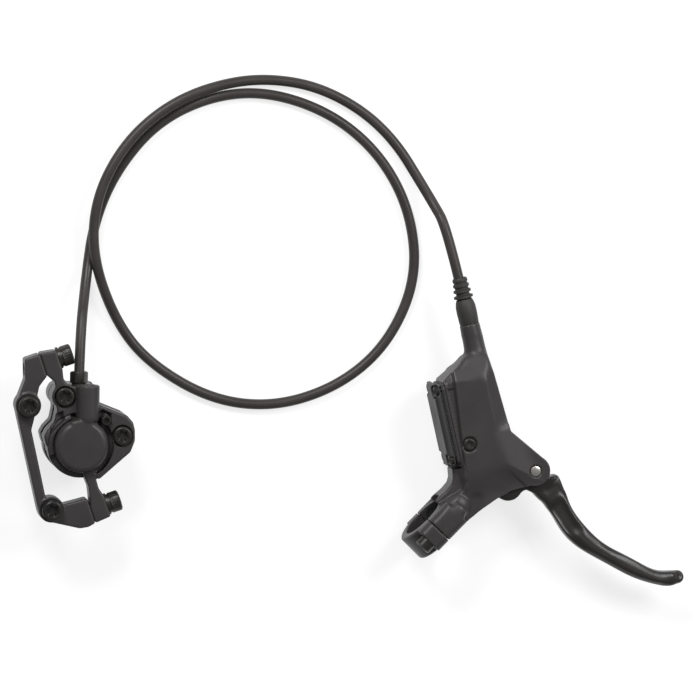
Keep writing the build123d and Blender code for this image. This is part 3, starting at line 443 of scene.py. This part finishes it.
# %% Blade
BLADE_LINE = np.array(((3.4, -7.0), (8.2, -18.0), (12.2, -30.5), (20.6, -43.4), (32.9, -54.8),
                       (42.6, -62.8), (48.0, -66.2), (54.0, -68.4), (60.5, -68.9)))
BLADE_HALF = np.array((6.2, 6.0, 5.1, 4.4, 4.1, 3.7, 3.4, 3.7, 3.2))      # half width at each point
BLADE_CORNER = 2.6        # round of the solid's edges
BLADE_MELT = 0.25
LINE_STEPS, LINE_ROUNDS = 400, 40                         # pieces of the middle line, and its smoothing
BATCH = 4000              # points measured against the line at a time
HEAD_TAPER, FACET_FALL, SCOOP_DEPTH = 1.0, 1.6, 1.9
INNER_FALL, GROOVE_DEPTH, FLANGE_FALL = 2.6, 0.7, 1.5
HOOK_AT, HOOK_DEPTH = (60.0, -68.2), 1.5


def blade_place(points):
    """Distance along the middle line, share of the half width across it, way across, half width."""
    steps = np.linspace(0, len(BLADE_LINE) - 1, LINE_STEPS)
    corners = np.arange(len(BLADE_LINE))
    middle = np.stack([np.interp(steps, corners, BLADE_LINE[:, i]) for i in (0, 1)], -1)
    for _ in range(LINE_ROUNDS):
        middle[1:-1] = (middle[:-2] + 2 * middle[1:-1] + middle[2:]) / 4
    half = np.interp(steps, corners, BLADE_HALF)
    runs = np.concatenate(((0,), np.cumsum(np.linalg.norm(np.diff(middle, axis=0), axis=1))))
    heading = np.gradient(middle, axis=0)
    heading /= np.linalg.norm(heading, axis=1)[:, None]
    nearest = np.concatenate([np.argmin(np.linalg.norm(some[:, None, :2] - middle[None], axis=2), axis=1)
                              for some in np.array_split(points, 1 + len(points) // BATCH)])
    offset = points[:, :2] - middle[nearest]
    side = np.stack((-heading[nearest, 1], heading[nearest, 0]), -1)
    return runs[nearest], np.sum(side * offset, axis=1) / half[nearest], side, half[nearest]


def shape_blade(row_points):
    """Taper the head, then sink the faces: finger profile, facet, scoop and hook."""
    points = to_plan(row_points, LEVER)
    along, across, side, half = blade_place(points)
    head = ramp(along, 0.5, 5) * (1 - ramp(along, 7, 13))
    taper = HEAD_TAPER * np.sign(across) * ramp(np.abs(across), 0.3, 1) * head
    points[:, :2] -= taper[:, None] * side
    finger = ramp(along, 20, 33) * (1 - ramp(along, 78, 86))
    corner = np.clip(np.abs(across) * half - half + BLADE_CORNER, 0, 0.85 * BLADE_CORNER)
    corner = BLADE_CORNER - np.sqrt(BLADE_CORNER ** 2 - corner ** 2)
    inner = INNER_FALL * ramp(-0.35 - across, 0, 0.65)
    groove = GROOVE_DEPTH * np.exp(-((across + 0.1) / 0.13) ** 2)
    flange = FLANGE_FALL * np.clip(across + 0.1, 0, 1.1)
    facet = FACET_FALL * np.clip(across + 0.5, 0, 2) * ramp(along, 2, 4) * (1 - ramp(along, 8, 17))
    scoop = SCOOP_DEPTH * ramp(along, 10, 14) * (1 - ramp(along, 26, 33))
    scoop *= ramp(across, -0.95, -0.6) * (1 - ramp(across, 0.3, 0.5))
    hook = HOOK_DEPTH * (1 - ramp(np.linalg.norm(points[:, :2] - HOOK_AT, axis=1), 0.8, 2.8))
    depth = finger * (inner + groove + flange - corner) + facet + scoop + hook
    height = points[:, 2] - LEVER_Z
    points[:, 2] -= np.sign(height) * depth * ramp(np.abs(height), 1.0, 4.0)
    return to_row(points, LEVER)


def melt_blade(row_points):
    """The blade is polished all over before it is anodised, so nothing on it is sharp."""
    return np.full(len(row_points), BLADE_MELT)


# %% [markdown]
# ### The copies
# The smaller a square, the finer the edges and the more faces: the lever's body is the largest piece
# and takes the widest squares but one, so it stays under 200,000 triangles.

# %% Make the soft copies
for solid_name, cell, rounds, *forms in (
        ("lever_body", 0.45, 5, shape_lever, melt_lever), ("clamp_cap", 0.4, 3, close_split),
        ("caliper_outer_half", 0.4, 4, shape_caliper), ("caliper_inner_half", 0.5, 3),
        ("mount_adapter", 0.4, 3), ("lever_blade", 0.35, 5, shape_blade, melt_blade),
        ("reservoir_cap", 0.35, 2)):
    soft_copy(f"soft_{solid_name}", solid_name, cell, rounds, *forms)

# %% [markdown]
# ## Screws, nuts and boots
# Everything turned on a lathe is a profile swung round an axis. A row of the profile gives the
# distance along the axis and the radius, and a third number bends that ring: a six-lobed socket, a
# knurled grip or a hexagon. That keeps one way for all of them, and no shape is cut from another.

# %% Turned pieces
ROUND, SOCKET, KNURL, HEXAGON = range(4)
SPOKES = 96
LOBES, LOBE_SHARE = 6, 0.13
KNURLS, KNURL_SHARE = 24, 0.035
around = np.linspace(0, 2 * math.pi, SPOKES, endpoint=False)
BENDS = np.array((np.ones(SPOKES), 1 + LOBE_SHARE * np.cos(LOBES * around),
                  1 - KNURL_SHARE * ramp(np.cos(KNURLS * around), -0.4, 0.4),
                  1 / np.cos(around % (math.pi / 3) - math.pi / 6)))


def turned(profile, foot, tip):
    """Grid of a profile swung round the axis from foot towards tip, in plan millimetres."""
    rows = np.array(profile, float)
    axis = np.subtract(tip, foot) / math.dist(foot, tip)
    side = np.cross(axis, (0.0, 0.0, 1.0) if abs(axis[2]) < 0.9 else (1.0, 0.0, 0.0))
    side /= np.linalg.norm(side)
    spokes = np.cos(around)[:, None] * side + np.sin(around)[:, None] * np.cross(axis, side)
    radius = rows[:, 1:2] * BENDS[rows[:, 2].astype(int)]
    return foot + rows[:, :1, None] * axis + radius[..., None] * spokes


def turned_piece(name, node, plan, profile, places):
    """One piece of the same profile at several (foot, tip) places, standing for one node."""
    mesh = grid_mesh(name, [to_row(turned(profile, foot, tip), plan) for foot, tip in places])
    add_object(name, mesh, node)
    print(name, len(mesh.polygons), "faces")


def upright(x, y, under):
    """A place whose axis points up."""
    return (x, y, under), (x, y, under + 10)


# %% [markdown]
# ### Screws
# Real socket screws have a chamfered head, a rim round a dished top, and a socket. The sockets here
# have six lobes, and the bolts that hold the caliper to its mount are knurled. All of them share one
# profile, which runs from the bottom of the socket over the head to the tip.

# %% Screws
def screw_profile(head, height, socket, shank, length, grip=ROUND):
    """Profile of a socket screw from radii and lengths; 0 along the axis is the head's underside."""
    dish, edge = 0.25, min(0.6, 0.3 * height)
    floor, rim = height - 0.55 * height, height - dish
    return ((floor, 0, ROUND), (floor, 0.9 * socket, SOCKET), (height - 0.5 * height, socket, SOCKET),
            (rim - 0.15, socket, SOCKET), (rim, socket + 0.15, SOCKET), (rim, socket + 0.45, ROUND),
            (height, socket + 0.75, ROUND), (height, head - edge - 0.15, ROUND),
            (height - 0.12, head - edge + 0.1, ROUND), (height - edge, head, ROUND),
            (height - edge - 0.1, head, grip), (0.55, head, grip), (0.45, head, ROUND), (0.1, head, ROUND),
            (0, head - 0.1, ROUND), (0, shank, ROUND), (0.4 - length, shank, ROUND),
            (-length, shank - 0.4, ROUND), (-length, 0, ROUND))


def clamp_place(z):
    """Seat of a clamp screw's head, which points away from the lever."""
    axis = math.radians(CLAMP_AXIS)
    away = np.array((math.sin(axis), -math.cos(axis), 0))
    seat = np.array((*CLAMP_AT, z)) + CLAMP_SEAT * away
    return seat, seat + 10 * away


ADAPTER_BOLTS, ADAPTER_SEAT = ((-18.0, 26.2), (-23.0, -24.8)), 35.0
BODY_BOLTS, BODY_SEAT = ((0.0, 24.5), (20.2, -2.1)), 31.5
POST_SEAT, POST_Y, POST_Z = 5.0, (42.6, -31.6), 28.0
PAD_PIN_AT = (14.96, 7.59)
VENT_AT, VENT_SEAT = (-29.5, 20.9), 29.8
CAP_SEAT, CAP_SCREW_Y, CAP_SCREW_Z = -38.7, (15.2, 49.4), (-8.4, 8.4)
CLAMP_SEAT, CLAMP_SCREW_Z = 7.2, (-15.1, 15.1)
turned_piece("adapter_screws", "adapter_bolts", CALIPER,
             screw_profile(head=4.9, height=4.2, socket=2.7, shank=3.0, length=15),
             [upright(*at, ADAPTER_SEAT) for at in ADAPTER_BOLTS])
turned_piece("body_screws", "caliper_body_bolts", CALIPER,
             screw_profile(head=4.5, height=3.8, socket=2.5, shank=2.5, length=24.5),
             [upright(*at, BODY_SEAT) for at in BODY_BOLTS])
turned_piece("post_screws", "post_mount_bolts", CALIPER,
             screw_profile(head=5.0, height=5.0, socket=2.7, shank=3.0, length=16.2, grip=KNURL),
             [((POST_SEAT, y, POST_Z), (POST_SEAT + 10, y, POST_Z)) for y in POST_Y])
turned_piece("pad_pin_screw", "pad_pin", CALIPER,
             screw_profile(head=2.4, height=3.2, socket=1.2, shank=1.5, length=26.0),
             [upright(*PAD_PIN_AT, HALF_TOP)])
turned_piece("vent_screw", "bleed_screw", LEVER,
             screw_profile(head=3.0, height=1.6, socket=1.35, shank=1.9, length=3.0),
             [upright(*VENT_AT, VENT_SEAT)])
turned_piece("cap_screws", "reservoir_screws", LEVER,
             screw_profile(head=2.7, height=2.0, socket=1.2, shank=1.5, length=8.1),
             [((CAP_SEAT, y, LEVER_Z + z), (CAP_SEAT - 10, y, LEVER_Z + z))
              for y in CAP_SCREW_Y for z in CAP_SCREW_Z])
turned_piece("clamp_screws", "clamp_bolts", LEVER,
             screw_profile(head=4.1, height=4.6, socket=2.2, shank=2.5, length=18.2),
             [clamp_place(LEVER_Z + z) for z in CLAMP_SCREW_Z])

# %% [markdown]
# ### Nut, pin and boot
# The hose nut has a hexagon between two round collars, the pivot pin a domed head with a chamfer, and
# the rubber boot four ribs that shrink towards the hose. The ribs' rows are made from one list.

# %% Nut, pin and boot
PORT_END, PORT_DIRECTION = np.array((8.5, 26.95, 27.0)), math.radians(71.1)
port_way = np.array((math.cos(PORT_DIRECTION), math.sin(PORT_DIRECTION), 0))
NUT = ((-6.4, 2.55, ROUND), (6.5, 2.55, ROUND), (6.6, 2.65, ROUND), (6.6, 3.55, ROUND),
       (6.1, 3.75, HEXAGON), (1.5, 3.75, HEXAGON), (1.0, 3.6, ROUND), (0.9, 3.5, ROUND),
       (-6.4, 3.5, ROUND), (-6.4, 2.55, ROUND))
turned_piece("hose_nut", "caliper_hose_nut", CALIPER, NUT, [(PORT_END, PORT_END + 10 * port_way)])

PIN_FOOT = 10.9
PIN = ((0, 0, ROUND), (0, 2.2, ROUND), (0.4, 2.6, ROUND), (16.8, 2.6, ROUND), (17.1, 2.45, ROUND),
       (17.3, 1.9, ROUND), (17.4, 1.0, ROUND), (17.42, 0, ROUND))
turned_piece("pivot_pin_detail", "lever_pivot_pin", LEVER, PIN, [upright(0.0, 0.0, PIN_FOOT)])

BOOT_RIBS = ((98.4, 3.7), (95.9, 3.95), (93.2, 4.3), (90.3, 4.7))     # middle of each rib, its radius
VALLEY_RADIUS = 3.3
ribs = [(y + step, radius or rib, ROUND) for y, rib in BOOT_RIBS
        for step, radius in ((1.0, VALLEY_RADIUS), (0.5, None), (-0.5, None), (-1.0, VALLEY_RADIUS))]
BOOT = ((76.9, 4.15, ROUND), (83.4, 4.15, ROUND), (83.4, 2.55, ROUND), (99.6, 2.55, ROUND),
        (99.6, 3.2, ROUND), *ribs, (88.9, 3.9, ROUND), (87.6, 4.4, ROUND), (85.6, 4.85, ROUND),
        (82.5, 4.95, ROUND), (77.4, 4.75, ROUND), (76.9, 4.6, ROUND), (76.9, 4.15, ROUND))
BORE_FOOT = np.array((-15.08, 0.0, LEVER_Z))
turned_piece("ribbed_boot", "hose_boot", LEVER, BOOT, [(BORE_FOOT, BORE_FOOT + (0, 10, 0))])

# %% [markdown]
# ## Finishes
# In the picture only the pivot pin isn't black, and still no two blacks are the same: the alloy is
# blasted and anodised to a satin, the blade is smoother, the screws are oiled black steel, the hose
# is drawn nylon, and the boot is rubber. Two groups give each its own look. The first has a fine
# noise for the grain and a broad one that drifts the colour and the gloss. The second wears the
# edges that the soft copies marked: where a noise and the mark are both high, the colour turns to
# a paler, bare one and the surface gets glossier.

# %% Node groups
def new_group(name, inputs, outputs):
    """A shader node group. inputs are (name, kind, value) and outputs (name, kind)."""
    group = bpy.data.node_groups.new(name, "ShaderNodeTree")
    for label, kind, value in inputs:
        socket = group.interface.new_socket(label, in_out="INPUT", socket_type=f"NodeSocket{kind}")
        if value is not None:
            socket.default_value = value
    for label, kind in outputs:
        group.interface.new_socket(label, in_out="OUTPUT", socket_type=f"NodeSocket{kind}")
    return group, group.nodes.new("NodeGroupInput"), group.nodes.new("NodeGroupOutput")


def node(tree, kind, links=(), **settings):
    """A node with settings and with links given as {input: output socket or value}."""
    made = tree.nodes.new(f"ShaderNode{kind}")
    for key, value in settings.items():
        setattr(made, key, value)
    for key, value in dict(links).items():
        if isinstance(value, bpy.types.NodeSocket):
            tree.links.new(value, made.inputs[key])
        else:
            made.inputs[key].default_value = value
    return made


BARE_COLOUR = (0.12, 0.11, 0.1, 1)
FINE_GRAIN = 2600.0       # noise cells to the metre
DRIFT_SCALE, WEAR_SCALE = 55.0, 260.0
POLISH = -0.12            # change of roughness where an edge is worn bare

grain, into, out = new_group(
    "surface grain",
    (("Place", "Vector", None), ("Colour", "Color", (0.03, 0.03, 0.03, 1)),
     ("Tint", "Color", (0.05, 0.045, 0.045, 1)), ("Grain size", "Float", FINE_GRAIN),
     ("Gloss", "Float", 0.42), ("Gloss change", "Float", 0.12)),
    (("Colour", "Color"), ("Roughness", "Float"), ("Height", "Float")))
fine = node(grain, "TexNoise", {"Vector": into.outputs["Place"], "Scale": into.outputs["Grain size"],
                                "Detail": 3.0, "Roughness": 0.6})
broad = node(grain, "TexNoise", {"Vector": into.outputs["Place"], "Scale": DRIFT_SCALE,
                                 "Detail": 5.0, "Roughness": 0.6})
share = node(grain, "MapRange", {"Value": broad.outputs["Fac"], "From Min": 0.35, "From Max": 0.65})
colour = node(grain, "Mix", {"Factor": share.outputs["Result"]}, data_type="RGBA")
grain.links.new(into.outputs["Colour"], colour.inputs[6])
grain.links.new(into.outputs["Tint"], colour.inputs[7])
gloss = node(grain, "Math", {0: share.outputs["Result"], 1: into.outputs["Gloss change"],
                             2: into.outputs["Gloss"]}, operation="MULTIPLY_ADD")
grain.links.new(colour.outputs[2], out.inputs["Colour"])
grain.links.new(gloss.outputs[0], out.inputs["Roughness"])
grain.links.new(fine.outputs["Fac"], out.inputs["Height"])

wear, into, out = new_group(
    "edge wear",
    (("Colour", "Color", (0.03, 0.03, 0.03, 1)), ("Roughness", "Float", 0.4), ("Edge", "Float", 0.0),
     ("Place", "Vector", None), ("Bare colour", "Color", BARE_COLOUR), ("Amount", "Float", 0.35)),
    (("Colour", "Color"), ("Roughness", "Float")))
patch = node(wear, "TexNoise", {"Vector": into.outputs["Place"], "Scale": WEAR_SCALE, "Detail": 4.0})
mask = node(wear, "Math", {0: patch.outputs["Fac"], 1: into.outputs["Edge"]}, operation="MULTIPLY")
scaled = node(wear, "Math", {0: mask.outputs[0], 1: into.outputs["Amount"]},
              operation="MULTIPLY", use_clamp=True)
worn = node(wear, "Mix", {"Factor": scaled.outputs[0]}, data_type="RGBA")
wear.links.new(into.outputs["Colour"], worn.inputs[6])
wear.links.new(into.outputs["Bare colour"], worn.inputs[7])
polish = node(wear, "Math", {0: scaled.outputs[0], 1: POLISH, 2: into.outputs["Roughness"]},
              operation="MULTIPLY_ADD")
wear.links.new(worn.outputs[2], out.inputs["Colour"])
wear.links.new(polish.outputs[0], out.inputs["Roughness"])
print("groups", [group.name for group in bpy.data.node_groups])


# %% [markdown]
# ### The materials
# Every finish is one shader with the grain group before it, and the wear group too if its edges wear.
# So a finish is a row of values: its colour and the tint that it drifts to, its gloss and how far
# that changes, the size and the height of its grain, and how much its edges wear. Only soft copies
# carry the mark that wear needs.

# %% Materials
def finish_of(name, colour, tint, gloss, change, size=FINE_GRAIN, bump=0.1, depth=0.03, metallic=0.0,
              worn=0.0, specular=0.5):
    """A material: a colour that drifts to a tint, a grain depth millimetres high, and worn edges."""
    material = bpy.data.materials.new(name)
    material.use_nodes = True
    tree = material.node_tree
    tree.nodes.clear()
    place = node(tree, "TexCoord").outputs["Object"]
    base = node(tree, "Group", node_tree=grain)
    tree.links.new(place, base.inputs["Place"])
    base.inputs["Colour"].default_value = (*colour, 1)
    base.inputs["Tint"].default_value = (*tint, 1)
    base.inputs["Grain size"].default_value = size
    base.inputs["Gloss"].default_value = gloss
    base.inputs["Gloss change"].default_value = change
    colour_out, gloss_out = base.outputs["Colour"], base.outputs["Roughness"]
    if worn:
        rubbed = node(tree, "Group", node_tree=wear)
        tree.links.new(colour_out, rubbed.inputs["Colour"])
        tree.links.new(gloss_out, rubbed.inputs["Roughness"])
        tree.links.new(place, rubbed.inputs["Place"])
        tree.links.new(node(tree, "Attribute", attribute_name="edge").outputs["Fac"], rubbed.inputs["Edge"])
        rubbed.inputs["Bare colour"].default_value = BARE_COLOUR
        rubbed.inputs["Amount"].default_value = worn
        colour_out, gloss_out = rubbed.outputs["Colour"], rubbed.outputs["Roughness"]
    relief = node(tree, "Bump", {"Strength": bump, "Distance": depth * MM, "Height": base.outputs["Height"]})
    shader = node(tree, "BsdfPrincipled", {
        "Base Color": colour_out, "Roughness": gloss_out, "Normal": relief.outputs["Normal"],
        "Metallic": metallic, "Specular IOR Level": specular})
    tree.links.new(shader.outputs[0], node(tree, "OutputMaterial").inputs["Surface"])
    return material


FINISHES = {
    "anodised_black": finish_of(
        "blasted anodised alloy", (0.038, 0.0345, 0.035), (0.043, 0.039, 0.039), 0.36, 0.08,
        worn=0.7, specular=0.35),
    "blade_black": finish_of(
        "smooth anodised blade", (0.02, 0.018, 0.0175), (0.025, 0.022, 0.021), 0.28, 0.08,
        size=1800.0, bump=0.02, worn=0.15, specular=0.4),
    "black_fasteners": finish_of(
        "oiled black steel", (0.02, 0.019, 0.019), (0.03, 0.026, 0.022), 0.3, 0.12,
        size=1500.0, bump=0.08, metallic=0.35),
    "bright_steel": finish_of(
        "ground steel", (0.62, 0.6, 0.58), (0.5, 0.48, 0.45), 0.24, 0.16, metallic=1.0),
    "cap_plastic": finish_of(
        "moulded cap", (0.024, 0.023, 0.023), (0.03, 0.028, 0.028), 0.5, 0.1,
        size=1700.0, bump=0.25, worn=0.2),
    "rubber": finish_of(
        "moulded rubber", (0.025, 0.024, 0.023), (0.034, 0.031, 0.03), 0.5, 0.14, bump=0.15),
    "hose_sheath": finish_of(
        "drawn nylon", (0.038, 0.034, 0.0325), (0.046, 0.041, 0.039), 0.34, 0.1,
        size=700.0, bump=0.06, depth=0.05, specular=0.3),
    "brass": finish_of(
        "plain brass", (0.7, 0.5, 0.22), (0.55, 0.38, 0.16), 0.28, 0.15, metallic=1.0),
    "phenolic": finish_of(
        "moulded phenolic", (0.07, 0.05, 0.035), (0.1, 0.07, 0.05), 0.45, 0.15),
    "plunger_alloy": finish_of(
        "turned alloy", (0.55, 0.55, 0.57), (0.45, 0.45, 0.46), 0.3, 0.12, metallic=1.0),
    "bush_polymer": finish_of(
        "acetal", (0.45, 0.42, 0.36), (0.4, 0.37, 0.3), 0.35, 0.1),
    "friction_lining": finish_of(
        "pressed friction lining", (0.11, 0.09, 0.07), (0.2, 0.15, 0.1), 0.8, 0.1,
        size=900.0, bump=0.5, depth=0.1),
}


def paint(piece, slot):
    """Give a piece the finish of its slot, and no other."""
    piece.data.materials.clear()
    piece.data.materials.append(FINISHES[slot])


slot_of_node = {part["node"]: part["material_slot"] for part in frame["record"]["subparts"]}
for name, solid in nodes.items():
    paint(solid, slot_of_node[name])
for name, piece in stand_ins.items():
    paint(piece, slot_of_node[name])
print(len(FINISHES), "finishes on", len(nodes), "solids and", len(stand_ins), "new pieces")

# %% [markdown]
# ## Table and light
# The picture's background is pure white, as in a catalogue. The table is a grey matt sheet, so it
# sends little light up under the brake, and it glows for the camera and in reflections, so it looks
# white and keeps only a soft shadow. Two soft boxes stand high beyond the brake's far side, a
# smaller one at the left and a larger one at the right. With a pale world they give long gentle
# highlights along the black edges.

# %% Table and light
TABLE_HALF = 3.0
SHEET_GREY, SHEET_GLOW, WORLD_LIGHT = 0.35, 0.75, 0.25
CORNERS = (-1, -1), (1, -1), (1, 1), (-1, 1)
table_mesh = grid_mesh("table", [np.array([[(x * half, y * half, 0.0) for x, y in CORNERS]
                                           for half in (0.0, TABLE_HALF)])])
table = bpy.data.objects.new("table", table_mesh)
bpy.context.scene.collection.objects.link(table)
sheet = bpy.data.materials.new("white sheet")
sheet.use_nodes = True
tree = sheet.node_tree
tree.nodes.clear()
ray = node(tree, "LightPath")
seen = node(tree, "Math", {0: ray.outputs["Is Camera Ray"], 1: ray.outputs["Is Glossy Ray"]},
            operation="MAXIMUM")
seen = node(tree, "Math", {0: seen.outputs[0], 1: ray.outputs["Is Transmission Ray"]}, operation="MAXIMUM")
matt = node(tree, "BsdfDiffuse", {"Color": (SHEET_GREY, SHEET_GREY, SHEET_GREY, 1)})
glow = node(tree, "Emission", {"Color": (1, 1, 1, 1), "Strength": SHEET_GLOW})
sum_shader = node(tree, "AddShader", {0: matt.outputs[0], 1: glow.outputs[0]})
pick = node(tree, "MixShader", {"Fac": seen.outputs[0], 1: matt.outputs[0], 2: sum_shader.outputs[0]})
tree.links.new(pick.outputs[0], node(tree, "OutputMaterial").inputs["Surface"])
table_mesh.materials.append(sheet)

world = bpy.data.worlds.new("studio")
bpy.context.scene.world = world
world.use_nodes = True
world.node_tree.nodes["Background"].inputs["Color"].default_value = (1, 1, 1, 1)
world.node_tree.nodes["Background"].inputs["Strength"].default_value = WORLD_LIGHT


def soft_box(name, place, size, power):
    """A rectangular lamp that looks at the middle of the brake; size in metres and power in watts."""
    lamp = bpy.data.lights.new(name, "AREA")
    lamp.shape = "RECTANGLE"
    lamp.size, lamp.size_y = size
    lamp.energy = power
    holder = bpy.data.objects.new(name, lamp)
    bpy.context.scene.collection.objects.link(holder)
    holder.location = place
    holder.rotation_euler = (look_at - Vector(place)).to_track_quat("-Z", "Y").to_euler()
    print(name, "lamp at", place, power, "W")


soft_box("key", (-0.45, 0.85, 0.85), (0.45, 0.3), 9)
soft_box("fill", (0.65, 0.55, 0.9), (0.6, 0.4), 8)
bpy.context.scene.view_settings.view_transform = "Standard"

# %% [markdown]
# ## The size
# The dressed brake must fill the same box as the solids.

# %% Finish
bpy.context.view_layer.update()
